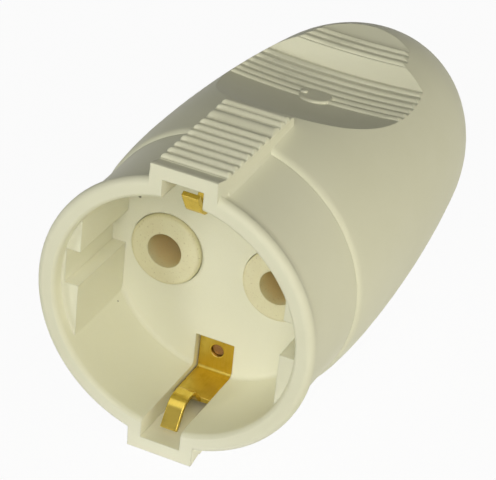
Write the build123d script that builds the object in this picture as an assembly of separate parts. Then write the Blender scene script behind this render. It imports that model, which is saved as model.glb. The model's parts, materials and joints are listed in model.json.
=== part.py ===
# In-line earthed two-pin socket: plastic front cup, egg-shaped rear handle, ceramic contact base.
# Millimetres. Y runs back along the axis from the rim face, Z is up, X is to the right.
import os
from math import asin, cos, radians, sin, sqrt, tan

from build123d import *

# Plug recess and rim of the front cup
recess_r = 19.5  # radius of the plug recess at the rim
recess_draft = 0.15  # how much narrower the recess is at its floor
recess_depth = 17.5
recess_floor_fillet = 0.8
mouth_flare = 0.6  # how much wider the recess is where it opens
mouth_depth = 0.9  # depth at which that flare ends
rim_w = 3.06  # from the recess to the outside of the rim
rim_edge = 1.1  # rounding of the outer rim edge
flange_straight = 1.4  # where the flange starts to curve down to the collar
flange_back = 3.6  # where that curve meets the collar
flange_step = 0.86  # from the rim down to the collar
collar_waist = 0.1  # how far the collar is hollowed at its middle
collar_draft = 0.2  # how much wider the collar is at its back
seam_y = 17.8  # where the cup and the handle meet
floor_t = 2.0

# Side guides in the recess
guide_h = 2.9  # from the recess wall to the guide flat
guide_front_y = 2.3
guide_groove_low = -1.4
guide_groove_high = 4.5
guide_groove_depth = 2.3

# Spigot and tongues of the cup, which enter the handle
shoulder = 1.7  # from the collar down to the spigot
skirt_wall = 1.8
spigot_l = 6.4
tongue_half_w = 4.3
tongue_rise = 1.7  # from the spigot up to the outside of a tongue
tongue_l = 7.8
hook_half_w = 2.15
hook_h = 0.4
hook_l = 1.4

# Blocks over the earth clips, on the cup and carried on by the handle
block_base_half_w = 5.6
block_top_half_w = 5.36
block_rise = 1.34  # from the rim up to the top of a block, without its ribs
block_l = 26.7
block_tail_r = 1.9  # rounding of the rear end of a block, seen from the side
block_corner_r = 1.2  # rounding of its rear corners, seen from above
block_foot_r = 2.4  # hollow rounding from its sides down to the collar
block_foot_sink = 0.35  # how far that rounding runs into the collar
block_lip_l = 0.5  # flat part of the raised front edge of a block
block_lip_slope_l = 2.4  # length over which that edge falls to the top
notch_half_w = 3.3
notch_roof = 1.54  # thickness of the roof over the notch, without the ribs
notch_back_wall = 2.0
rib_r = 0.62
rib_pitch = 2.1
rib_end_r = 0.5  # rounding of the rib ends
block_rib_first_y = 3.85
block_rib_count = 7
wide_rib_w = 2.5
wide_rib_gap = 0.5  # from the seam to the wide rib
fine_rib_gap = 0.55  # from one rib to the next behind the wide rib
fine_rib_count = 2

# Handle
lip_l = 1.3  # length of the rounded front lip
lip_step = 0.55  # from the collar up to the lip
belly_y = 28.0
belly_swell = 0.4  # from the lip up to the widest place
belly_arc = 260.0
nose_l = 21.5  # from the start of the nose curve to the tail
nose_arc = 35.0
handle_end_y = 88.5
tail_edge = 1.2
handle_wall = 2.2
tail_wall = 3.4
cable_r = 5.0

# Grip scoops of the handle
scoop_arc = 60.0
scoop_dish_r = 150.0  # radius of the scoop from side to side
scoop_low_y = 57.0
scoop_depth = 7.85  # from the widest radius of the handle down to the lowest place
scoop_front_angle = 40.0  # part of the arc in front of the lowest place
scoop_step_y = 60.2  # foot of the step behind the scoop
scoop_step_angle = 60.0
ledge_depth = 4.95  # from the widest radius of the handle down to the ledge
ledge_end_y = 67.9  # where the ledge turns up to the skin
ledge_end_angle = 17.0
scoop_wall = 2.0
scoop_rib_first_y = 47.6
scoop_rib_pitch = 2.27
scoop_rib_count = 6
scoop_rib_h = 0.45
ledge_rib_first_y = 62.75
ledge_rib_count = 3
gate_y = 48.1
gate_r = 2.7
gate_h = 0.5
gate_edge = 0.3
gate_nub_r = 0.6
gate_nub_h = 0.35

# Ceramic base
pin_pitch = 19.0
pin_hole_r = 2.87
boss_r = 5.9
boss_proud = 1.0
boss_edge = 0.6
base_t = 4.5
tower_half_w = 6.2
tower_half_h = 6.3
tower_l = 14.0
tower_corner = 1.6
chamber_half_w = 4.2
chamber_half_h = 4.6
chamber_front_wall = 1.4

# Pin contacts, their springs and their terminal screws
pin_r = 2.4
sleeve_wall = 0.8
sleeve_slit = 0.9
sleeve_front_gap = 0.4  # from the chamber's front wall to the sleeve
contact_flange_t = 1.2
neck_half_w = 1.5
neck_half_h = 2.4
terminal_l = 7.0
terminal_half_w = 3.6
terminal_half_h = 4.2
wire_hole_r = 1.9
spring_wall = 0.45
spring_l = 3.0
spring_y_gap = 1.6  # from the sleeve's mouth to the spring
terminal_screw_r = 1.6
terminal_head_r = 2.7
terminal_head_h = 2.0
slot_w = 0.7
slot_depth = 0.9

# Earth clips and bridge
clip_t = 0.75
clip_half_w = 3.05
clip_finger_half_w = 1.35
clip_plate_edge = 2.6  # from the clip screw to the inner edge of the plate
clip_run_out = 0.8  # from the recess wall out to the sheet where it runs forward
clip_shoulder_y = 10.9  # where the sheet narrows to the finger
clip_crest_in = 1.9  # from the recess wall in to the crest of the lower finger
clip_upper_reach = 2.0  # how much further in the upper finger stands
clip_crest_back_y = 8.4
clip_crest_front_y = 5.4
clip_tip_y = 3.0
clip_tip_out = 2.0  # from the recess wall out to the tip of the lower finger
clip_bend_r = 0.9
clip_back_bend_r = 1.3
clip_front_bend_r = 2.4
clip_screw_inset = 2.1  # from the edge of the ceramic to the clip screw
clip_screw_r = 1.0
clip_screw_grip = 0.2  # how far the clip screw enters the plate
clip_screw_head_r = 2.1
clip_screw_head_h = 1.5
bridge_t = 1.0
bridge_end_wall = 1.7  # from the clip screw's axis to the end of the bridge
bridge_half_w = 2.9
earth_screw_z = 4.0
earth_screw_r = 1.75
earth_head_r = 3.0
earth_head_h = 2.2
earth_washer_half_w = 2.6
earth_washer_t = 1.2
earth_wire_gap = 0.3  # free height under the washer

# Cord carrier and clamp
carrier_t = 2.0
carrier_half_w = 14.0
carrier_half_h = 6.2
leg_inset = 3.63  # from the edge of the ceramic to the axis of a leg
leg_angle = 45.5  # where the legs stand round the axis
leg_r = 3.5
pillar_r = 2.4
carrier_screw_r = 1.2
carrier_head_r = 2.5
carrier_head_h = 1.9
tongue_plate_half_w = 9.8
tongue_plate_top_z = -3.4
tongue_plate_t = 4.6
tongue_plate_l = 21.0
cord_r = 4.5
clamp_half_l = 3.0
clamp_back_inset = 1.5
clamp_z = 3.4  # underside of the clamp bar
clamp_t = 4.4
clamp_screw_x = 7.4
clamp_screw_r = 1.4
clamp_head_r = 2.3
clamp_head_h = 1.8
clamp_web = 1.6  # tongue left below the clamp screws

# Housing screw under the lower block
housing_screw_y = 22.6
housing_screw_r = 1.2
housing_head_r = 2.5
housing_head_sink = 0.5  # how far the head lies inside the block

# Clearances
gap = 0.15  # between pieces that slide together
screw_gap = 0.1  # round screws in their holes
seat_gap = 0.2  # between the ceramic and the skirt round it
boss_gap = 0.1  # round the bosses of the ceramic

# Values that follow from the sizes above
rim_r = recess_r + rim_w
mouth_r = recess_r + mouth_flare
guide_flat_x = recess_r - guide_h
collar_r = rim_r - flange_step
collar_back_r = collar_r + collar_draft
spigot_r = collar_back_r - shoulder
tongue_out_z = spigot_r + tongue_rise
lip_r = collar_back_r + lip_step
belly_r = lip_r + belly_swell
nose_y = handle_end_y - nose_l
block_z = rim_r + block_rise
notch_roof_z = block_z - notch_roof
scoop_low_z = belly_r - scoop_depth
ledge_z = belly_r - ledge_depth
floor_back_y = recess_depth + floor_t
spigot_end_y = seam_y + spigot_l
skirt_r = spigot_r - skirt_wall
tongue_end_y = seam_y + tongue_l
base_r = skirt_r - seat_gap
base_back_y = floor_back_y + base_t
leg_x = (base_r - leg_inset) * cos(radians(leg_angle))
leg_z = (base_r - leg_inset) * sin(radians(leg_angle))
tower_back_y = base_back_y + tower_l
carrier_back_y = tower_back_y + carrier_t
pin_x = pin_pitch / 2
sleeve_out_r = pin_r + sleeve_wall
sleeve_front_y = base_back_y + chamber_front_wall + sleeve_front_gap
terminal_front_y = carrier_back_y + gap
terminal_mid_y = terminal_front_y + terminal_l / 2
clip_plate_y = floor_back_y - clip_t / 2
clip_run_z = recess_r + clip_run_out
clip_screw_z = base_r - clip_screw_inset
clip_plate_top_z = clip_screw_z - clip_plate_edge
channel_out_z = clip_run_z + clip_t / 2 + gap
bridge_back_y = base_back_y + bridge_t
tongue_plate_end_y = carrier_back_y + tongue_plate_l
clamp_y = tongue_plate_end_y - clamp_back_inset - clamp_half_l
leg_places = {"left": (-leg_x, -leg_z), "right": (leg_x, leg_z)}
sides = {"left": -1, "right": 1}
levels = {"upper": 1, "lower": -1}


def along_y(sketch, start, end):
    """Extrudes a sketch drawn in X and Z from one depth to another."""
    return extrude(Plane.XZ.offset(-start) * sketch, amount=start - end)


def across_x(sketch, half_width):
    """Extrudes a sketch drawn in Y and Z to both sides of the middle plane."""
    return extrude(Plane.YZ * sketch, amount=half_width, both=True)


def rod_y(radius, x, z, start, end):
    return along_y(Pos(x, z) * Circle(radius), start, end)


def rod_z(radius, x, y, low, high):
    return Pos(x, y, low) * extrude(Circle(radius), amount=high - low)


def slab(x_low, x_high, y_low, y_high, z_low, z_high):
    middle = Pos((x_low + x_high) / 2, (y_low + y_high) / 2, (z_low + z_high) / 2)
    return middle * Box(x_high - x_low, y_high - y_low, z_high - z_low)


def turned(edges):
    """Turns a closed outline, drawn as radius and depth, about the axis."""
    return revolve(make_face(Curve() + edges), axis=Axis.Y)


def upside_down(shape):
    return mirror(shape, about=Plane.XY)


def both_levels(shape):
    return shape + upside_down(shape)


# Block, shared by the cup and the handle
def block_section():
    base_z = skirt_r
    return make_face(Polyline(
        (-block_base_half_w, base_z), (block_base_half_w, base_z),
        (block_top_half_w, block_z), (-block_top_half_w, block_z), close=True))


def block_foot(start, end):
    """Hollow rounding on both sides of a block, down to the round body."""
    out_x = block_top_half_w + block_foot_r
    low_z = sqrt(collar_r**2 - out_x**2) - block_foot_sink
    high_z = low_z + block_foot_r
    reach = block_foot_r * sqrt(0.5)
    right = make_face(Curve() + [
        Polyline((block_top_half_w, high_z), (block_top_half_w, skirt_r), (out_x, skirt_r), (out_x, low_z)),
        ThreePointArc((out_x, low_z), (out_x - reach, high_z - reach), (block_top_half_w, high_z)),
    ])
    foot = along_y(right, start, end)
    return foot + mirror(foot, about=Plane.YZ)


def rib(y, z, width):
    """Side view of a round-topped bar that is as wide as given where it leaves the given height."""
    radius = (width**2 / 4 + rib_r**2) / (2 * rib_r)
    return Pos(y, z + rib_r - radius) * Circle(radius)


def block_rib(y, width):
    """Bar across a block, with its upper ends rounded."""
    bar = across_x(rib(y, block_z, width), block_top_half_w)
    half_h = block_z + rib_r
    front_view = RectangleRounded(2 * block_top_half_w, 2 * half_h, rib_end_r)
    return bar & along_y(front_view, y - width, y + width)


# Front cup
def cup_outside():
    diagonal = 1 - sqrt(0.5)
    collar_mid = ((collar_r + collar_back_r) / 2 - collar_waist, (flange_back + seam_y) / 2)
    return turned([
        Polyline((rim_r - rim_edge, 0), (0, 0), (0, floor_back_y), (skirt_r, floor_back_y),
                 (skirt_r, spigot_end_y), (spigot_r, spigot_end_y), (spigot_r, seam_y),
                 (collar_back_r, seam_y)),
        ThreePointArc((collar_back_r, seam_y), collar_mid, (collar_r, flange_back)),
        TangentArc((collar_r, flange_back), (rim_r, flange_straight), tangent=(0, -1)),
        Line((rim_r, flange_straight), (rim_r, rim_edge)),
        ThreePointArc((rim_r, rim_edge), (rim_r - rim_edge * diagonal, rim_edge * diagonal),
                      (rim_r - rim_edge, 0)),
    ])


def plug_recess():
    floor_r = recess_r - recess_draft
    corner = recess_floor_fillet
    diagonal = 1 - sqrt(0.5)
    return turned([
        Polyline((0, recess_depth), (0, 0), (mouth_r, 0)),
        TangentArc((recess_r, mouth_depth), (mouth_r, 0), tangent=(0, -1)),
        Line((recess_r, mouth_depth), (floor_r, recess_depth - corner)),
        ThreePointArc((floor_r, recess_depth - corner),
                      (floor_r - corner * diagonal, recess_depth - corner * diagonal),
                      (floor_r - corner, recess_depth)),
        Line((floor_r - corner, recess_depth), (0, recess_depth)),
    ])


def guides():
    """Flats on both sides of the recess, each with a groove along it."""
    round_wall = rod_y(recess_r + recess_draft, 0, 0, guide_front_y, floor_back_y)
    lands = slab(guide_flat_x, rim_r, guide_front_y, recess_depth, -recess_r, recess_r)
    groove = slab(guide_flat_x, guide_flat_x + guide_groove_depth, guide_front_y, recess_depth,
                  guide_groove_low, guide_groove_high)
    right = round_wall & (lands - groove)
    return right + mirror(right, about=Plane.YZ)


def cup_block():
    """Ribbed block over an earth clip, with a raised front edge that falls to its top."""
    lip_z = block_z + rib_r
    slope_end = block_lip_l + block_lip_slope_l
    lip = make_face(Polyline((0, skirt_r), (0, lip_z), (block_lip_l, lip_z), (slope_end, block_z),
                             (slope_end, skirt_r), close=True))
    block = along_y(block_section(), 0, seam_y) + across_x(lip, block_top_half_w)
    block += block_foot(flange_back, seam_y)
    for step in range(block_rib_count):
        block += block_rib(block_rib_first_y + step * rib_pitch, 2 * rib_r)
    return block


def cup_tongue():
    return slab(-tongue_half_w, tongue_half_w, seam_y - floor_t, tongue_end_y,
                skirt_r + gap, tongue_out_z)


def cup_hook():
    back = tongue_end_y - hook_l
    ramp = make_face(Polyline((back - hook_l, tongue_out_z), (back, tongue_out_z),
                              (back - hook_l, tongue_out_z + hook_h), close=True))
    return across_x(ramp, hook_half_w)


def clip_channel():
    notch = slab(-notch_half_w, notch_half_w, 0, seam_y - notch_back_wall, recess_r / 2, notch_roof_z)
    window = slab(-notch_half_w, notch_half_w, seam_y - notch_back_wall, floor_back_y + gap,
                  clip_plate_top_z - gap, channel_out_z)
    return notch + window


def front_cup():
    body = cup_outside() + both_levels(cup_block() + cup_tongue()) + cup_hook()
    body -= plug_recess()
    body += guides()
    for x, z in leg_places.values():
        body += rod_y(pillar_r, x, z, recess_depth, base_back_y - gap)
        body -= rod_y(carrier_screw_r + screw_gap, x, z, floor_back_y - floor_t / 2, base_back_y)
    body -= both_levels(clip_channel())
    for side in sides.values():
        body -= rod_y(boss_r + boss_gap, side * pin_x, 0, 0, base_back_y)
    body -= rod_z(housing_screw_r + screw_gap, 0, housing_screw_y,
                  -tongue_out_z, -skirt_r - housing_head_sink)
    return body


# Rear handle
def handle_curve(inset, end_y):
    """The belly and nose arcs, moved in by a wall, and the point where they end."""
    belly_centre = (belly_r - belly_arc, belly_y)
    turn = asin((nose_y - belly_y) / belly_arc)
    nose_centre = (belly_centre[0] + (belly_arc - nose_arc) * cos(turn),
                   belly_centre[1] + (belly_arc - nose_arc) * sin(turn))
    last = asin((end_y - nose_centre[1]) / (nose_arc - inset))

    def at(centre, radius, angle):
        return (centre[0] + radius * cos(angle), centre[1] + radius * sin(angle))

    belly = [at(belly_centre, belly_arc - inset, turn * share) for share in (0, 0.5, 1)]
    nose = [at(nose_centre, nose_arc - inset, turn + (last - turn) * share) for share in (0, 0.5, 1)]
    return [ThreePointArc(*belly), ThreePointArc(*nose)], belly[0], nose[2]


def handle_outside():
    curve, start, end = handle_curve(0, handle_end_y - tail_edge)
    lip = (lip_r, seam_y + lip_l)
    tail = (end[0] - tail_edge, handle_end_y)
    return turned([
        Line((0, seam_y), (collar_back_r, seam_y)),
        TangentArc(lip, (collar_back_r, seam_y), tangent=(0, -1)),
        TangentArc(start, lip, tangent=(0, -1)),
        *curve,
        Line(end, tail),
        Polyline(tail, (0, handle_end_y), (0, seam_y)),
    ])


def handle_cavity():
    curve, start, end = handle_curve(handle_wall, handle_end_y - tail_wall)
    socket_r = spigot_r + gap
    socket_end = spigot_end_y + gap
    inside = turned([
        Polyline((0, seam_y), (socket_r, seam_y), (socket_r, socket_end), start),
        *curve,
        Polyline(end, (0, end[1]), (0, seam_y)),
    ])
    return inside - both_levels(dished(offset(scoop_section(), scoop_wall, kind=Kind.INTERSECTION)))


def scoop_floor_z(y):
    return scoop_low_z + scoop_arc - sqrt(scoop_arc**2 - (y - scoop_low_y)**2)


def dished(section):
    """Sweeps a side view from side to side on a wide circle, so that it is hollow both ways."""
    return revolve(Plane.YZ * section, axis=Axis((0, 0, scoop_low_z + scoop_dish_r), (0, 1, 0)))


def scoop_section():
    """Side view of the scoop, its rear step and the ledge behind it, open to the outside."""
    foot = (scoop_step_y, scoop_floor_z(scoop_step_y))
    head = (scoop_step_y + (ledge_z - foot[1]) / tan(radians(scoop_step_angle)), ledge_z)
    tail_z = ledge_z + (handle_end_y - ledge_end_y) * tan(radians(ledge_end_angle))
    front_y = scoop_low_y - scoop_arc * sin(radians(scoop_front_angle))
    middle_y = (front_y + scoop_step_y) / 2
    top = scoop_floor_z(front_y)
    return make_face(Curve() + [
        ThreePointArc((front_y, top), (middle_y, scoop_floor_z(middle_y)), foot),
        Polyline(foot, head, (ledge_end_y, ledge_z), (handle_end_y, tail_z), (handle_end_y, top),
                 (front_y, top)),
    ])


def scoop_ribs():
    bars = []
    for step in range(scoop_rib_count):
        y = scoop_rib_first_y + step * scoop_rib_pitch
        bars.append(rib(y, scoop_floor_z(y) + scoop_rib_h - rib_r, 2 * rib_r))
    for step in range(ledge_rib_count):
        bars.append(rib(ledge_rib_first_y + step * rib_pitch, ledge_z + scoop_rib_h - rib_r, 2 * rib_r))
    return [dished(bar) for bar in bars]


def gate_mark():
    """Round smooth spot where the moulding was filled, with the stub left on its edge."""
    ahead = scoop_low_y - gate_y
    slope = ahead / sqrt(scoop_arc**2 - ahead**2)
    disc = extrude(Circle(gate_r), amount=gate_h)
    disc = fillet(disc.faces().sort_by(Axis.Z)[-1].edges(), gate_edge)
    disc += extrude(Circle(gate_r), amount=-gate_h)
    disc += Pos(gate_nub_r - gate_r, 0) * extrude(Circle(gate_nub_r), amount=gate_h + gate_nub_h)
    return Plane(origin=(0, gate_y, scoop_floor_z(gate_y)), x_dir=(1, 0, 0), z_dir=(0, slope, 1)) * disc


def rounded_tail(half_w, corner_r):
    """Plan of the block on the handle, with its rear corners rounded."""
    plan = Pos(0, (seam_y + block_l) / 2) * Rectangle(2 * half_w, block_l - seam_y)
    return extrude(fillet(plan.vertices().group_by(Axis.Y)[-1], corner_r), amount=block_z)


def handle_block():
    """Part of the block on the handle, rounded off at its rear end."""
    top_end = block_l - block_tail_r
    side_view = make_face(Curve() + [
        Polyline((block_l, block_z - block_tail_r), (block_l, skirt_r), (seam_y, skirt_r),
                 (seam_y, block_z), (top_end, block_z)),
        TangentArc((top_end, block_z), (block_l, block_z - block_tail_r), tangent=(1, 0)),
    ])
    block = along_y(block_section(), seam_y, block_l) & across_x(side_view, block_base_half_w)
    block &= rounded_tail(block_base_half_w, block_corner_r)
    block += block_foot(seam_y, block_l) & rounded_tail(block_top_half_w + block_foot_r, block_foot_r)
    y = seam_y + wide_rib_gap + wide_rib_w / 2
    block += block_rib(y, wide_rib_w)
    y += wide_rib_w / 2 + fine_rib_gap + rib_r
    for _ in range(fine_rib_count):
        block += block_rib(y, 2 * rib_r)
        y += fine_rib_gap + 2 * rib_r
    return block


def tongue_pocket():
    room = tongue_out_z + gap
    hook_back = tongue_end_y - hook_l
    pocket = slab(-tongue_half_w - gap, tongue_half_w + gap, seam_y, tongue_end_y + gap, 0, room)
    catch = slab(-hook_half_w - gap, hook_half_w + gap, hook_back - hook_l - gap, hook_back + gap,
                 0, room + hook_h)
    return pocket, catch


def housing_screw_hole():
    seat_z = -block_z + housing_head_sink
    cone_l = housing_head_r - housing_screw_r
    hole = rod_z(housing_screw_r + 2 * screw_gap, 0, housing_screw_y, -block_z, -skirt_r)
    mouth = rod_z(housing_head_r + gap, 0, housing_screw_y, -block_z - 2 * rib_r, seat_z)
    cone = Pos(0, housing_screw_y, seat_z + cone_l / 2) * Cone(
        housing_head_r + gap, housing_screw_r + gap, cone_l)
    return hole + mouth + cone


def rear_handle():
    outside = handle_outside()
    body = outside - both_levels(dished(scoop_section()))
    for bar in scoop_ribs():
        body += both_levels(bar & outside)
    body += gate_mark()
    body += both_levels(handle_block())
    body -= handle_cavity()
    pocket, catch = tongue_pocket()
    body -= both_levels(pocket) + catch
    body -= housing_screw_hole()
    body -= rod_y(cable_r, 0, 0, seam_y, handle_end_y)
    return body


def housing_screw():
    seat_z = -block_z + housing_head_sink
    cone_l = housing_head_r - housing_screw_r
    top = -skirt_r - 2 * housing_head_sink
    screw = rod_z(housing_screw_r, 0, housing_screw_y, seat_z + cone_l, top)
    screw += Pos(0, housing_screw_y, seat_z + cone_l / 2) * Cone(housing_head_r, housing_screw_r, cone_l)
    return screw - slab(-housing_head_r, housing_head_r, housing_screw_y - slot_w / 2,
                        housing_screw_y + slot_w / 2, seat_z, seat_z + slot_depth)


# Ceramic base
def ceramic_base():
    front_y = recess_depth - boss_proud
    base = rod_y(base_r, 0, 0, floor_back_y, base_back_y)
    for side in sides.values():
        x = side * pin_x
        boss = rod_y(boss_r, x, 0, front_y, floor_back_y)
        base += fillet(boss.faces().sort_by(Axis.Y)[0].edges(), boss_edge)
        base += along_y(Pos(x, 0) * RectangleRounded(2 * tower_half_w, 2 * tower_half_h, tower_corner),
                        base_back_y, tower_back_y)
        base -= along_y(Pos(x, 0) * Rectangle(2 * chamber_half_w, 2 * chamber_half_h),
                        base_back_y + chamber_front_wall, tower_back_y)
        base -= rod_y(pin_hole_r, x, 0, front_y, tower_back_y)
    for x, z in leg_places.values():
        base -= rod_y(pillar_r + gap, x, z, floor_back_y, base_back_y)
    for level in levels.values():
        base -= rod_y(clip_screw_r + 2 * screw_gap, 0, level * clip_screw_z, floor_back_y, base_back_y)
    base -= rod_y(earth_screw_r + 2 * screw_gap, 0, earth_screw_z,
                  base_back_y - base_t / 2 - gap, base_back_y)
    return base


# Pin contacts
def pin_contact(side):
    x = side * pin_x
    flange_y = tower_back_y - gap - contact_flange_t
    contact = rod_y(sleeve_out_r, x, 0, sleeve_front_y, flange_y)
    contact += along_y(Pos(x, 0) * Rectangle(2 * (chamber_half_w - gap), 2 * (chamber_half_h - gap)),
                       flange_y, flange_y + contact_flange_t)
    contact += along_y(Pos(x, 0) * Rectangle(2 * neck_half_w, 2 * neck_half_h), flange_y, terminal_front_y)
    terminal = RectangleRounded(2 * terminal_half_w, 2 * terminal_half_h, wire_hole_r / 2)
    contact += along_y(Pos(x, 0) * terminal, terminal_front_y, terminal_front_y + terminal_l)
    contact -= rod_y(pin_r, x, 0, sleeve_front_y, flange_y)
    contact -= slab(x - sleeve_slit / 2, x + sleeve_slit / 2, sleeve_front_y, flange_y - sleeve_slit,
                    -2 * sleeve_out_r, 2 * sleeve_out_r)
    contact -= rod_y(wire_hole_r, x, 0, terminal_front_y + sleeve_wall, terminal_front_y + terminal_l)
    contact -= rod_z(terminal_screw_r + screw_gap, x, terminal_mid_y, 0, terminal_half_h)
    return contact


def contact_spring(side):
    """Open steel ring that presses the slit sleeve together."""
    x = side * pin_x
    inner = sleeve_out_r + screw_gap
    start = sleeve_front_y + spring_y_gap
    ring = rod_y(inner + spring_wall, x, 0, start, start + spring_l)
    ring -= rod_y(inner, x, 0, start, start + spring_l)
    return ring - slab(x - sleeve_slit, x + sleeve_slit, start, start + spring_l, 0, 2 * inner)


def headed_screw(shank_r, shank_l, head_r, head_h):
    """Slotted screw with its head's underside at zero, shank down and head up."""
    screw = extrude(Circle(shank_r), amount=-shank_l)
    head = extrude(Circle(head_r), amount=head_h)
    screw += fillet(head.faces().sort_by(Axis.Z)[-1].edges(), head_h / 3)
    return screw - Pos(0, 0, head_h - slot_depth / 2) * Box(2 * head_r, slot_w, slot_depth)


def screw_along_y(x, y, z, *sizes):
    """Screw driven forwards, with its head's underside at the given depth."""
    return Plane(origin=(x, y, z), x_dir=(1, 0, 0), z_dir=(0, 1, 0)) * headed_screw(*sizes)


def terminal_screw(side):
    shank_l = terminal_half_h - wire_hole_r
    lift = screw_gap
    return Pos(side * pin_x, terminal_mid_y, terminal_half_h + lift) * headed_screw(
        terminal_screw_r, shank_l, terminal_head_r, terminal_head_h)


# Earth path
def earth_clip(level):
    """Brass strip: plate on the ceramic, run along the notch, finger with an S bend."""
    reach = clip_upper_reach if level > 0 else 0
    crest_z = recess_r - clip_crest_in - reach
    tip_z = recess_r + clip_tip_out - reach
    line = FilletPolyline(
        (clip_plate_y, -clip_plate_top_z), (clip_plate_y, -clip_run_z),
        (clip_shoulder_y, -clip_run_z), (clip_crest_back_y, -crest_z),
        (clip_crest_front_y, -crest_z), (clip_tip_y, -tip_z),
        radius=[clip_bend_r, clip_back_bend_r, clip_back_bend_r, clip_front_bend_r])
    strip = across_x(trace(line, clip_t), clip_half_w)
    beside_finger = slab(clip_finger_half_w, 2 * clip_half_w, 0, clip_shoulder_y, -rim_r, 0)
    strip -= beside_finger + mirror(beside_finger, about=Plane.YZ)
    strip -= rod_y(clip_screw_r + screw_gap, 0, -clip_screw_z, recess_depth, floor_back_y)
    return strip if level < 0 else upside_down(strip)


def earth_bridge():
    length = 2 * (clip_screw_z + bridge_end_wall)
    bridge = along_y(SlotOverall(length, 2 * bridge_half_w, rotation=90), base_back_y, bridge_back_y)
    for level in levels.values():
        bridge -= rod_y(clip_screw_r + screw_gap, 0, level * clip_screw_z, base_back_y, bridge_back_y)
    return bridge - rod_y(earth_screw_r + screw_gap, 0, earth_screw_z, base_back_y, bridge_back_y)


def clip_screw(level):
    shank_l = bridge_back_y - floor_back_y + clip_screw_grip
    return screw_along_y(0, bridge_back_y, level * clip_screw_z, clip_screw_r, shank_l,
                         clip_screw_head_r, clip_screw_head_h)


def earth_washer():
    start = bridge_back_y + earth_wire_gap
    plate = along_y(Pos(0, earth_screw_z) * Rectangle(2 * earth_washer_half_w, 2 * earth_washer_half_w),
                    start, start + earth_washer_t)
    return plate - rod_y(earth_screw_r + screw_gap, 0, earth_screw_z, start, start + earth_washer_t)


def earth_screw():
    head_y = bridge_back_y + earth_wire_gap + earth_washer_t
    shank_l = head_y - base_back_y + base_t / 2
    return screw_along_y(0, head_y, earth_screw_z, earth_screw_r, shank_l, earth_head_r, earth_head_h)


# Cord carrier and clamp
def cord_carrier():
    """Moulded bridge behind the ceramic towers, with legs, contact slots and a cord tongue."""
    plate = Rectangle(2 * carrier_half_w, 2 * carrier_half_h)
    for x, z in leg_places.values():
        plate += Pos(x, z) * Circle(leg_r)
        plate += Pos(x, z / 2) * Rectangle(2 * leg_r, abs(z))
    carrier = along_y(plate, tower_back_y, carrier_back_y)
    for x, z in leg_places.values():
        carrier += rod_y(leg_r, x, z, base_back_y, tower_back_y)
        carrier -= rod_y(carrier_screw_r + 2 * screw_gap, x, z, base_back_y, carrier_back_y)
    for side in sides.values():
        neck_in = pin_x - neck_half_w - gap
        slot = slab(neck_in, 2 * carrier_half_w, tower_back_y, carrier_back_y,
                    -neck_half_h - gap, neck_half_h + gap)
        carrier -= slot if side > 0 else mirror(slot, about=Plane.YZ)
    tongue = slab(-tongue_plate_half_w, tongue_plate_half_w, carrier_back_y, tongue_plate_end_y,
                  tongue_plate_top_z - tongue_plate_t, tongue_plate_top_z)
    for side in sides.values():
        tongue -= slab(side * pin_x - terminal_half_w - gap, side * pin_x + terminal_half_w + gap,
                       carrier_back_y, terminal_front_y + terminal_l + gap, -rim_r, 0)
        tongue -= rod_z(clamp_screw_r + screw_gap, side * clamp_screw_x, clamp_y,
                        tongue_plate_top_z - tongue_plate_t + clamp_web, 0)
    tongue -= rod_y(cord_r, 0, 0, carrier_back_y, tongue_plate_end_y)
    return carrier + tongue


def cord_clamp_bar():
    bar = slab(-tongue_plate_half_w, tongue_plate_half_w, clamp_y - clamp_half_l, clamp_y + clamp_half_l,
               clamp_z, clamp_z + clamp_t)
    bar -= rod_y(cord_r, 0, 0, clamp_y - clamp_half_l, clamp_y + clamp_half_l)
    for side in sides.values():
        bar -= rod_z(clamp_screw_r + screw_gap, side * clamp_screw_x, clamp_y, clamp_z, clamp_z + clamp_t)
    return bar


def clamp_screw(side):
    top = clamp_z + clamp_t
    bottom = tongue_plate_top_z - tongue_plate_t + clamp_web + screw_gap
    return Pos(side * clamp_screw_x, clamp_y, top) * headed_screw(
        clamp_screw_r, top - bottom, clamp_head_r, clamp_head_h)


def carrier_screw(place):
    x, z = place
    shank_l = carrier_back_y - floor_back_y
    return screw_along_y(x, carrier_back_y, z, carrier_screw_r, shank_l, carrier_head_r, carrier_head_h)


def main():
    nodes = {
        "front_cup": front_cup(),
        "rear_handle": rear_handle(),
        "housing_screw": housing_screw(),
        "ceramic_base": ceramic_base(),
        "earth_bridge": earth_bridge(),
        "earth_terminal_washer": earth_washer(),
        "earth_terminal_screw": earth_screw(),
        "cord_carrier": cord_carrier(),
        "cord_clamp_bar": cord_clamp_bar(),
    }
    for name, side in sides.items():
        nodes[f"{name}_pin_contact"] = pin_contact(side)
        nodes[f"{name}_contact_spring"] = contact_spring(side)
        nodes[f"{name}_terminal_screw"] = terminal_screw(side)
        nodes[f"{name}_clamp_screw"] = clamp_screw(side)
        nodes[f"{name}_carrier_screw"] = carrier_screw(leg_places[name])
    for name, level in levels.items():
        nodes[f"{name}_earth_clip"] = earth_clip(level)
        nodes[f"{name}_clip_screw"] = clip_screw(level)
    os.makedirs("parts", exist_ok=True)
    for name, shape in nodes.items():
        export_step(shape, f"parts/{name}.step")


main()
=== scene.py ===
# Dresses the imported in-line socket for its photograph: moulded ribs, finishes, light and camera.
# Metres, in the frame of the CAD: Y back along the axis from the rim face, Z up.
import json
from math import cos, radians, sin

import bpy
from mathutils import Matrix, Vector


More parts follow.
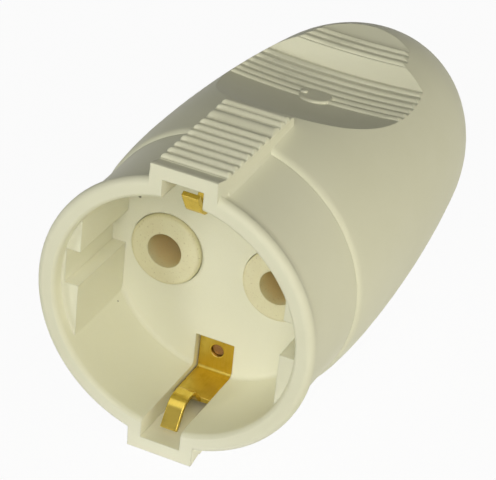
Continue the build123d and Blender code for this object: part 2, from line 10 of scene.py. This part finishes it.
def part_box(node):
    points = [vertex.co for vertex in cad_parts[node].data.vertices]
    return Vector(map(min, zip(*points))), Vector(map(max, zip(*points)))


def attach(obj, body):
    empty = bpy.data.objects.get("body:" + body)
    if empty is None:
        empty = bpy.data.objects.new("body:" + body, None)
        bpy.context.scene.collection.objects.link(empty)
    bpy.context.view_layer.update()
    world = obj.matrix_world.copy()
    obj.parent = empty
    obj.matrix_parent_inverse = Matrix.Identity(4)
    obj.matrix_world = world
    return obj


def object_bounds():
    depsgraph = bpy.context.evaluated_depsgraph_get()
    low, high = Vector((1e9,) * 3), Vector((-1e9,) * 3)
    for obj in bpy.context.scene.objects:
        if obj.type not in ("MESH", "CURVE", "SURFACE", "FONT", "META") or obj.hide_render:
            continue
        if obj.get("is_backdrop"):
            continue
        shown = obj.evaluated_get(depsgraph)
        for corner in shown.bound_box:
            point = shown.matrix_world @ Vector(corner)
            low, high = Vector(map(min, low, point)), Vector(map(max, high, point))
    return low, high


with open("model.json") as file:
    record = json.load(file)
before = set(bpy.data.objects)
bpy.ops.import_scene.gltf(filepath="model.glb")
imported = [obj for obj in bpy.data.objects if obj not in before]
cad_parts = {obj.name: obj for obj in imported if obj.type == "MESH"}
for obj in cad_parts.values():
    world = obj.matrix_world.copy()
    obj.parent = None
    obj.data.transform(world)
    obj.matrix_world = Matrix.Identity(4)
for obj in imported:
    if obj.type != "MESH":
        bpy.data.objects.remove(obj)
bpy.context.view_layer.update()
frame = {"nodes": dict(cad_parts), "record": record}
MM = 0.001

# Camera, fitted to the rim, the pin holes and the clip blocks of the photograph
SENSOR_MM = 36.0
LENS_MM = 169.8
CAMERA_AZIMUTH = 22.095
CAMERA_ELEVATION = 30.811
CAMERA_ROLL = 6.274
CAMERA_PLACE = (0.116874, -0.261529, 0.185571)

# Studio
AIM = (0, 0.04, 0)
LAMPS = (
    # name, place, side of the square, watts, colour
    ("front_softbox", (0.22, -0.83, 0.40), 0.42, 2.3, (1, 1, 1)),
    ("high_softbox", (0.25, -0.60, 0.65), 0.5, 1.8, (1, 0.98, 0.92)),
    ("right_softbox", (0.85, -0.10, 0.14), 0.6, 3.7, (1, 0.96, 0.85)),
    ("left_softbox", (-0.55, -0.72, 0.10), 0.22, 1.9, (1, 1, 1)),
)
ROOM_LIGHT = 0.04  # light on the object from all round
WALL_GREY = 0.24  # the studio's walls, as metal shows them and a camera that looks past the floor
WALL_FOOT = (0.1, -0.1)  # upward share of a ray at which the walls run into white ground
WALL_HEAD = (0.56, 0.68)  # and at which they run into a white ceiling
FLOOR_SIZE = 6.0
FLOOR_WHITE = 0.95  # share of the floor's white that doesn't depend on the lamps
FLOOR_PAINT = (0.85, 0.85, 0.84, 1)
FLOOR_ROUGHNESS = 0.9
WHITE = (1, 1, 1, 1)

# Ribs on the blocks over the earth clips, as on the CAD solids
RIB_RISE = 0.62 * MM
RIB_LIFT = 0.012 * MM  # how far the moulded skin stands outside the solid
RIB_FOOT = 0.3 * MM  # soft run of a rib into the block
RIB_END_ROUND = 0.5 * MM
RIB_HALF_WIDTH = 5.36 * MM
RIB_DEPTH = 0.4 * MM
RIB_GRID = {"Vertices X": 97, "Vertices Y": 33, "Vertices Z": 2}
CUP_RIBS = {"Count": 7, "First": 3.85 * MM, "Pitch": 2.1 * MM, "Rib Width": 1.24 * MM}
WIDE_RIB = {"Count": 1, "First": 19.55 * MM, "Pitch": 2.9 * MM, "Rib Width": 2.5 * MM}
FINE_RIBS = {"Count": 2, "First": 21.97 * MM, "Pitch": 1.79 * MM, "Rib Width": 1.24 * MM}
RIB_ROWS = (
    # name, 1 on top or -1 below, sizes; the screw hole leaves no room for the other rows below
    ("upper_cup_ribs", 1, CUP_RIBS),
    ("upper_wide_rib", 1, WIDE_RIB),
    ("upper_fine_ribs", 1, FINE_RIBS),
    ("lower_cup_ribs", -1, CUP_RIBS),
)

# Pin holes in the ceramic: the painted warm shade on their walls ends over this run of the radius
PIN_PITCH = 19 * MM
PIN_HOLE_EDGE = (3.2 * MM, 3.0 * MM)

# Brass fingers, rubbed smooth by plugs in front of this run
RUBBED_RUN = (8 * MM, 11 * MM)

# Specks burnt into the ivory moulding: place and radius
SPECKS = (
    ((-16.1 * MM, 15.3 * MM, -10.8 * MM), 0.2 * MM),
    ((-14.8 * MM, 17.5 * MM, 7.4 * MM), 0.35 * MM),
)

# Colours of the finishes; a pair is the two ends of a soft cloud, or bright and dull metal
IVORY = ((0.83, 0.82, 0.61, 1), (0.81, 0.80, 0.585, 1))
# painted light: paler ivory for the inside of the recess, in place of light bounced round it
IVORY_PAINTED_BOUNCE_LIGHT = (0.93, 0.92, 0.745, 1)
# painted shade: darker ivory for creases and grooves
IVORY_PAINTED_CREASE_SHADE = (0.66, 0.57, 0.38, 1)
IVORY_EDGE = (0.82, 0.81, 0.63, 1)
IVORY_GLOSS = 0.22
BURNT_SPECK = (0.12, 0.10, 0.06, 1)
CERAMIC = ((0.85, 0.81, 0.535, 1), (0.81, 0.755, 0.485, 1))
CERAMIC_DARK_GRAIN = (0.50, 0.41, 0.21, 1)
CERAMIC_COOL_GRAIN = (0.80, 0.77, 0.55, 1)
# painted shade: warm brown for the deep walls of the pin holes
CERAMIC_PAINTED_HOLE_SHADE = (0.88, 0.67, 0.29, 1)
CERAMIC_EDGE = (0.75, 0.71, 0.50, 1)
BRASS_RUBBED = ((0.88, 0.67, 0.15, 1), (0.80, 0.57, 0.08, 1))
BRASS_SATIN = ((0.78, 0.61, 0.15, 1), (0.70, 0.52, 0.08, 1))
BRASS_TARNISH = (0.52, 0.35, 0.04, 1)
BRASS_EDGE = (0.94, 0.80, 0.40, 1)
INNER_PLASTIC = ((0.57, 0.54, 0.39, 1), (0.53, 0.50, 0.355, 1))
INNER_PLASTIC_EDGE = (0.66, 0.63, 0.48, 1)
SPRING_STEEL = ((0.42, 0.43, 0.47, 1), (0.27, 0.27, 0.30, 1))
SCREW_STEEL = ((0.62, 0.61, 0.58, 1), (0.42, 0.41, 0.38, 1))
STAINED_STEEL = ((0.55, 0.34, 0.22, 1), (0.26, 0.14, 0.08, 1))

# Patterns that the finishes share
CLOUD_ROUGHNESS = 0.6
CLOUD_RUN = (0.3, 0.7)  # levels of a cloud between which its colours change
EDGE_SAMPLES = 6
EDGE_RUN = (0.99, 0.8)  # likeness of softened and true normal, from a face to a full edge
# samples of the enclosure mask behind the painted light and shade
PAINTED_LIGHT_SAMPLES = 6


class Field:
    """A socket that reads like a number, so that a pattern is written as plain arithmetic."""

    def __init__(self, tree, socket):
        self.tree = tree
        self.socket = socket

    @classmethod
    def node(cls, tree, kind, settings, sockets, output):
        """Makes a node: its settings first, then the values or links of its sockets."""
        made = tree.nodes.new(kind)
        for name, value in settings.items():
            setattr(made, name, value)
        for key, value in sockets.items():
            if isinstance(value, cls):
                tree.links.new(value.socket, made.inputs[key])
            else:
                made.inputs[key].default_value = value
        return cls(tree, made.outputs[output])

    def maths(self, operation, *values):
        sockets = dict(enumerate(values))
        return self.node(self.tree, "ShaderNodeMath", {"operation": operation}, sockets, 0)

    def __add__(self, other):
        return self.maths("ADD", self, other)

    def __radd__(self, other):
        return self.maths("ADD", other, self)

    def __sub__(self, other):
        return self.maths("SUBTRACT", self, other)

    def __rsub__(self, other):
        return self.maths("SUBTRACT", other, self)

    def __mul__(self, other):
        return self.maths("MULTIPLY", self, other)

    def __rmul__(self, other):
        return self.maths("MULTIPLY", other, self)

    def __truediv__(self, other):
        return self.maths("DIVIDE", self, other)

    def __abs__(self):
        return self.maths("ABSOLUTE", self)

    def root(self):
        return self.maths("SQRT", self.at_least(0.0))

    def at_least(self, other):
        return self.maths("MAXIMUM", self, other)

    def at_most(self, other):
        return self.maths("MINIMUM", self, other)

    def ramp(self, none, full):
        """0 at the first level and before it, 1 at the second and past it, and a soft run between."""
        settings = {"interpolation_type": "SMOOTHSTEP"}
        sockets = {"Value": self, "From Min": none, "From Max": full}
        return self.node(self.tree, "ShaderNodeMapRange", settings, sockets, 0)

    def between(self, first, second):
        """The first colour where this is 0 and the second where it is 1."""
        sockets = {0: self, 6: first, 7: second}
        return self.node(self.tree, "ShaderNodeMix", {"data_type": "RGBA"}, sockets, 2)


# Moulded ribs
def moulded_ribs_tree():
    """Geometry tree: one soft-footed rib, set out in a row on a block."""
    tree = bpy.data.node_groups.new("moulded_ribs", "GeometryNodeTree")
    sizes = ("First", "Pitch", "Rib Width", "Half Width", "Rise", "Foot", "End Round", "Top", "Depth",
             "Level")
    tree.interface.new_socket("Count", in_out="INPUT", socket_type="NodeSocketInt")
    for name in sizes:
        tree.interface.new_socket(name, in_out="INPUT", socket_type="NodeSocketFloat")
    tree.interface.new_socket("Finish", in_out="INPUT", socket_type="NodeSocketMaterial")
    tree.interface.new_socket("Ribs", in_out="OUTPUT", socket_type="NodeSocketGeometry")
    given = tree.nodes.new("NodeGroupInput")
    size = {name: Field(tree, given.outputs[name]) for name in ("Count", "Finish", *sizes)}

    def vector(x, y, z):
        return Field.node(tree, "ShaderNodeCombineXYZ", {}, {"X": x, "Y": y, "Z": z}, 0)

    block_size = vector(2 * size["Half Width"], size["Pitch"], size["Depth"])
    bar = Field.node(tree, "GeometryNodeMeshCube", {}, {"Size": block_size, **RIB_GRID}, "Mesh")
    here = Field.node(tree, "GeometryNodeInputPosition", {}, {}, 0)
    x, y, z = (Field.node(tree, "ShaderNodeSeparateXYZ", {}, {0: here}, axis) for axis in "XYZ")

    rise = size["Rise"]
    end_round = size["End Round"]
    radius = (size["Rib Width"] * size["Rib Width"] / 4 + rise * rise) / (2 * rise)
    crown = (radius * radius - y * y).root() - (radius - rise)
    soft = crown.maths("SMOOTH_MAX", crown, 0.0, size["Foot"])
    past_end = (abs(x) - (size["Half Width"] - end_round)).at_least(0.0)
    end = rise - end_round + (end_round * end_round - past_end * past_end).root()
    top = size["Top"] + soft.at_most(end)
    bottom = size["Top"] - size["Depth"]
    is_top = z.maths("GREATER_THAN", z, 0.0)
    height = bottom + is_top * (top - bottom)
    place = vector(x * size["Level"], y, height * size["Level"])

    bar = Field.node(tree, "GeometryNodeSetPosition", {}, {"Geometry": bar, "Position": place}, 0)
    bar = Field.node(tree, "GeometryNodeSetShadeSmooth", {}, {"Geometry": bar}, 0)
    row = Field.node(tree, "GeometryNodeMeshLine", {"mode": "OFFSET"},
                     {"Count": size["Count"], "Start Location": vector(0.0, size["First"], 0.0),
                      "Offset": vector(0.0, size["Pitch"], 0.0)}, 0)
    ribs = Field.node(tree, "GeometryNodeInstanceOnPoints", {}, {"Points": row, "Instance": bar}, 0)
    ribs = Field.node(tree, "GeometryNodeRealizeInstances", {}, {"Geometry": ribs}, 0)
    ribs = Field.node(tree, "GeometryNodeSetMaterial", {},
                      {"Geometry": ribs, "Material": size["Finish"]}, 0)
    tree.links.new(ribs.socket, tree.nodes.new("NodeGroupOutput").inputs["Ribs"])
    return tree


def moulded_ribs(name, tree, finish, level, row):
    """One row of ribs on the upper or lower block, as a plain mesh that rides the housing."""
    block_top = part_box("front_cup")[1].z - RIB_RISE
    values = {"Half Width": RIB_HALF_WIDTH + RIB_LIFT, "Rise": RIB_RISE, "Foot": RIB_FOOT,
              "End Round": RIB_END_ROUND, "Top": block_top + RIB_LIFT, "Depth": RIB_DEPTH,
              "Level": float(level), "Finish": finish, **row}
    piece = bpy.data.objects.new(name, bpy.data.meshes.new(name))
    bpy.context.scene.collection.objects.link(piece)
    modifier = piece.modifiers.new("ribs", "NODES")
    modifier.node_group = tree
    for socket in tree.interface.items_tree:
        if socket.in_out == "INPUT":
            modifier[socket.identifier] = values[socket.name]
    evaluated = piece.evaluated_get(bpy.context.evaluated_depsgraph_get())
    mesh = bpy.data.meshes.new_from_object(evaluated)
    piece.modifiers.remove(modifier)
    piece.data = mesh
    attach(piece, "root")


# Finishes
def finish(name, metallic=0.0):
    """A new material with its tree, shader and place on the object."""
    material = bpy.data.materials.new(name)
    material.use_nodes = True
    tree = material.node_tree
    shader = tree.nodes["Principled BSDF"]
    shader.inputs["Metallic"].default_value = metallic
    place = Field.node(tree, "ShaderNodeTexCoord", {}, {}, "Object")
    return material, tree, shader, place


def cloud(tree, place, per_metre, detail=4.0, stretch=(1, 1, 1)):
    """Soft noise about 1 / per_metre across, drawn out along an axis by a small stretch."""
    settings = {"operation": "MULTIPLY"}
    scaled = Field.node(tree, "ShaderNodeVectorMath", settings, {0: place, 1: stretch}, 0)
    sockets = {"Vector": scaled, "Scale": per_metre, "Detail": detail, "Roughness": CLOUD_ROUGHNESS}
    return Field.node(tree, "ShaderNodeTexNoise", {}, sockets, 0)


def soft_normal(tree, radius):
    """Normal with its edges softened over the radius."""
    return Field.node(tree, "ShaderNodeBevel", {"samples": EDGE_SAMPLES}, {"Radius": radius}, 0)


def rounded(tree, radius, height, depth):
    """Normal with softened edges and a fine relief."""
    soft = soft_normal(tree, radius)
    sockets = {"Height": height, "Distance": depth, "Strength": 1.0, "Normal": soft}
    return Field.node(tree, "ShaderNodeBump", {}, sockets, 0)


def edge_wear(tree, radius):
    """1 on outer and inner edges of the piece, 0 on its faces."""
    soft = soft_normal(tree, radius)
    flat = Field.node(tree, "ShaderNodeNewGeometry", {}, {}, "Normal")
    settings = {"operation": "DOT_PRODUCT"}
    likeness = Field.node(tree, "ShaderNodeVectorMath", settings, {0: soft, 1: flat}, "Value")
    return likeness.ramp(*EDGE_RUN)


def painted_light_mask(tree, reach, starts, full):
    """Mask for painted light and shade: 1 where little of the view within reach is open, as deep in
    grooves, and 0 on open faces.
    """
    settings = {"samples": PAINTED_LIGHT_SAMPLES}
    open_view = Field.node(tree, "ShaderNodeAmbientOcclusion", settings, {"Distance": reach}, "AO")
    return open_view.ramp(starts, full)


def tinted(colour, tint, mask, share):
    """The colour with that share of the tint in it where the mask is 1."""
    return (mask * share).between(colour, tint)


def join(tree, shader, **sockets):
    """Feeds the shader; an underscore stands for the space in a socket's name."""
    for name, field in sockets.items():
        tree.links.new(field.socket, shader.inputs[name.replace("_", " ")])


def ivory_plastic():
    material, tree, shader, place = finish("ivory_plastic")
    shader.inputs["Specular IOR Level"].default_value = IVORY_GLOSS
    flow = cloud(tree, place, per_metre=55.0)
    grain = cloud(tree, place, per_metre=5200.0, detail=2.0)
    colour = flow.ramp(*CLOUD_RUN).between(*IVORY)
    # Painted light: the ivory is painted paler where the view is enclosed, as inside the recess, in
    # place of bounced light
    painted_bounce_light = painted_light_mask(tree, reach=25 * MM, starts=0.8, full=0.4)
    colour = painted_bounce_light.between(colour, IVORY_PAINTED_BOUNCE_LIGHT)
    # Painted shade: the ivory is painted darker in creases, grooves and corners
    painted_crease_shade = painted_light_mask(tree, reach=2.5 * MM, starts=0.75, full=0.2)
    colour = tinted(colour, IVORY_PAINTED_CREASE_SHADE, painted_crease_shade, share=0.15)
    colour = tinted(colour, IVORY_EDGE, edge_wear(tree, radius=0.3 * MM), share=0.25)
    for centre, radius in SPECKS:
        settings = {"operation": "DISTANCE"}
        away = Field.node(tree, "ShaderNodeVectorMath", settings, {0: place, 1: centre}, "Value")
        colour = tinted(colour, BURNT_SPECK, away.ramp(none=radius, full=radius / 3), share=0.8)
    relief = 0.5 * grain + 0.5 * flow
    join(tree, shader, Base_Color=colour, Roughness=0.4 + 0.12 * flow + 0.06 * grain,
         Normal=rounded(tree, radius=0.28 * MM, height=relief, depth=0.01 * MM))
    return material


def cream_ceramic():
    material, tree, shader, place = finish("cream_ceramic")
    body = cloud(tree, place, per_metre=260.0)
    speckle = cloud(tree, place, per_metre=2600.0, detail=3.0)
    colour = body.ramp(*CLOUD_RUN).between(*CERAMIC)
    colour = tinted(colour, CERAMIC_DARK_GRAIN, speckle.ramp(none=0.58, full=0.72), share=0.5)
    colour = tinted(colour, CERAMIC_COOL_GRAIN, speckle.ramp(none=0.40, full=0.30), share=0.35)
    x, z = (Field.node(tree, "ShaderNodeSeparateXYZ", {}, {0: place}, axis) for axis in "XZ")
    from_pin = abs(x) - PIN_PITCH / 2
    in_hole = (from_pin * from_pin + z * z).root().ramp(*PIN_HOLE_EDGE)
    # Painted shade: the pin hole walls are painted warm brown where they lie deep
    painted_hole_shade = painted_light_mask(tree, reach=6 * MM, starts=0.55, full=0.3) * in_hole
    colour = tinted(colour, CERAMIC_PAINTED_HOLE_SHADE, painted_hole_shade, share=0.9)
    colour = tinted(colour, CERAMIC_EDGE, edge_wear(tree, radius=0.25 * MM), share=0.2)
    join(tree, shader, Base_Color=colour, Roughness=0.5 + 0.2 * speckle,
         Normal=rounded(tree, radius=0.2 * MM, height=speckle, depth=0.02 * MM))
    return material


def brass():
    material, tree, shader, place = finish("brass", metallic=1.0)
    streaks = cloud(tree, place, per_metre=3200.0, detail=3.0, stretch=(1, 0.08, 0.08))
    tarnish = cloud(tree, place, per_metre=420.0)
    back = Field.node(tree, "ShaderNodeSeparateXYZ", {}, {0: place}, "Y")
    satin = back.ramp(*RUBBED_RUN)
    colour = satin.between(streaks.between(*BRASS_RUBBED), streaks.between(*BRASS_SATIN))
    colour = tinted(colour, BRASS_TARNISH, tarnish.ramp(none=0.45, full=0.75), share=0.5)
    colour = tinted(colour, BRASS_EDGE, edge_wear(tree, radius=0.1 * MM), share=0.5)
    join(tree, shader, Base_Color=colour,
         Roughness=0.16 + 0.06 * streaks + 0.16 * satin + 0.08 * tarnish,
         Normal=rounded(tree, radius=0.25 * MM, height=streaks, depth=0.003 * MM))
    return material


def turned_metal(name, shades, roughness):
    """Plated or bare metal of the screws and springs, with turning marks and stains."""
    material, tree, shader, place = finish(name, metallic=1.0)
    bright, dull = shades
    marks = cloud(tree, place, per_metre=4000.0, detail=2.0, stretch=(1, 0.15, 1))
    stain = cloud(tree, place, per_metre=600.0)
    colour = marks.between(bright, dull)
    colour = tinted(colour, dull, stain.ramp(none=0.55, full=0.8), share=0.6)
    colour = tinted(colour, bright, edge_wear(tree, radius=0.08 * MM), share=0.4)
    join(tree, shader, Base_Color=colour, Roughness=roughness + 0.15 * stain,
         Normal=rounded(tree, radius=0.08 * MM, height=marks, depth=0.006 * MM))
    return material


def inner_plastic():
    material, tree, shader, place = finish("inner_plastic")
    flow = cloud(tree, place, per_metre=90.0)
    grain = cloud(tree, place, per_metre=4200.0, detail=2.0)
    colour = flow.between(*INNER_PLASTIC)
    colour = tinted(colour, INNER_PLASTIC_EDGE, edge_wear(tree, radius=0.2 * MM), share=0.3)
    join(tree, shader, Base_Color=colour, Roughness=0.45 + 0.15 * grain,
         Normal=rounded(tree, radius=0.2 * MM, height=grain, depth=0.015 * MM))
    return material


FINISHES = {
    "ivory_plastic": ivory_plastic(),
    "cream_ceramic": cream_ceramic(),
    "inner_plastic": inner_plastic(),
    "brass": brass(),
    "spring_steel": turned_metal("spring_steel", SPRING_STEEL, roughness=0.25),
    "screw_steel": turned_metal("screw_steel", SCREW_STEEL, roughness=0.28),
}
STAINED_SCREW = turned_metal("stained_screw", STAINED_STEEL, roughness=0.4)

for part in frame["record"]["subparts"]:
    node = frame["nodes"][part["node"]]
    stained = part["node"].endswith("clip_screw")
    node.data.materials.clear()
    node.data.materials.append(STAINED_SCREW if stained else FINISHES[part["material_slot"]])

ribs_tree = moulded_ribs_tree()
for row_name, level, row in RIB_ROWS:
    moulded_ribs(row_name, ribs_tree, FINISHES["ivory_plastic"], level, row)


# Studio
def seen_directly(tree):
    """1 for rays from the camera, off metal and through glass, and 0 for light on the object."""
    path = tree.nodes.new("ShaderNodeLightPath")
    kinds = ("Camera", "Glossy", "Transmission")
    camera_ray, glossy_ray, clear_ray = (Field(tree, path.outputs[f"Is {kind} Ray"]) for kind in kinds)
    return (camera_ray + glossy_ray + clear_ray).at_most(1.0)


def floor():
    """Pale floor under the object that keeps its shadow and looks nearly white from the camera."""
    half = FLOOR_SIZE / 2
    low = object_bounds()[0].z
    mesh = bpy.data.meshes.new("floor")
    corners = [(-half, -half, low), (half, -half, low), (half, half, low), (-half, half, low)]
    mesh.from_pydata(corners, [], [(0, 1, 2, 3)])
    ground = bpy.data.objects.new("floor", mesh)
    bpy.context.scene.collection.objects.link(ground)
    material, tree, shader, _ = finish("pale_floor")
    shader.inputs["Base Color"].default_value = FLOOR_PAINT
    shader.inputs["Roughness"].default_value = FLOOR_ROUGHNESS
    white = Field.node(tree, "ShaderNodeEmission", {}, {"Color": WHITE, "Strength": 1.0}, 0)
    lit = Field(tree, shader.outputs[0])
    seen = seen_directly(tree) * FLOOR_WHITE
    mixed = Field.node(tree, "ShaderNodeMixShader", {}, {0: seen, 1: lit, 2: white}, 0)
    tree.links.new(mixed.socket, tree.nodes["Material Output"].inputs["Surface"])
    mesh.materials.append(material)
    ground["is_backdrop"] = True


def room():
    """Grey walls between a white ground and ceiling, which light the object only faintly."""
    world = bpy.data.worlds.new("studio")
    world.use_nodes = True
    tree = world.node_tree
    background = tree.nodes["Background"]
    background.inputs["Color"].default_value = WHITE
    towards = Field.node(tree, "ShaderNodeTexCoord", {}, {}, "Generated")
    height = Field.node(tree, "ShaderNodeSeparateXYZ", {}, {0: towards}, "Z")
    shade = (WALL_GREY + height.ramp(*WALL_FOOT) + height.ramp(*WALL_HEAD)).at_most(1.0)
    strength = ROOM_LIGHT + shade * seen_directly(tree)
    tree.links.new(strength.socket, background.inputs["Strength"])
    bpy.context.scene.world = world


def lamp(name, place, side, watts, colour):
    """Square softbox turned to the middle of the object."""
    light = bpy.data.lights.new(name, "AREA")
    light.size = side
    light.energy = watts
    light.color = colour
    box = bpy.data.objects.new(name, light)
    box.location = place
    box.rotation_euler = (Vector(AIM) - Vector(place)).to_track_quat("-Z", "Y").to_euler()
    bpy.context.scene.collection.objects.link(box)


def camera():
    angles = (CAMERA_AZIMUTH, CAMERA_ELEVATION, CAMERA_ROLL)
    azimuth, elevation, roll = (radians(angle) for angle in angles)
    back = Vector((sin(azimuth) * cos(elevation), -cos(azimuth) * cos(elevation), sin(elevation)))
    level = Vector((cos(azimuth), sin(azimuth), 0))
    rise = back.cross(level)
    right = cos(roll) * level + sin(roll) * rise
    up = cos(roll) * rise - sin(roll) * level
    lens = bpy.data.cameras.new("photo_camera")
    lens.sensor_width = SENSOR_MM
    lens.lens = LENS_MM
    eye = bpy.data.objects.new("photo_camera", lens)
    turn = Matrix((right, up, back)).transposed().to_4x4()
    eye.matrix_world = Matrix.Translation(CAMERA_PLACE) @ turn
    bpy.context.scene.collection.objects.link(eye)
    bpy.context.scene.camera = eye


floor()
room()
for softbox in LAMPS:
    lamp(*softbox)
camera()
bpy.context.scene.view_settings.view_transform = "Standard"
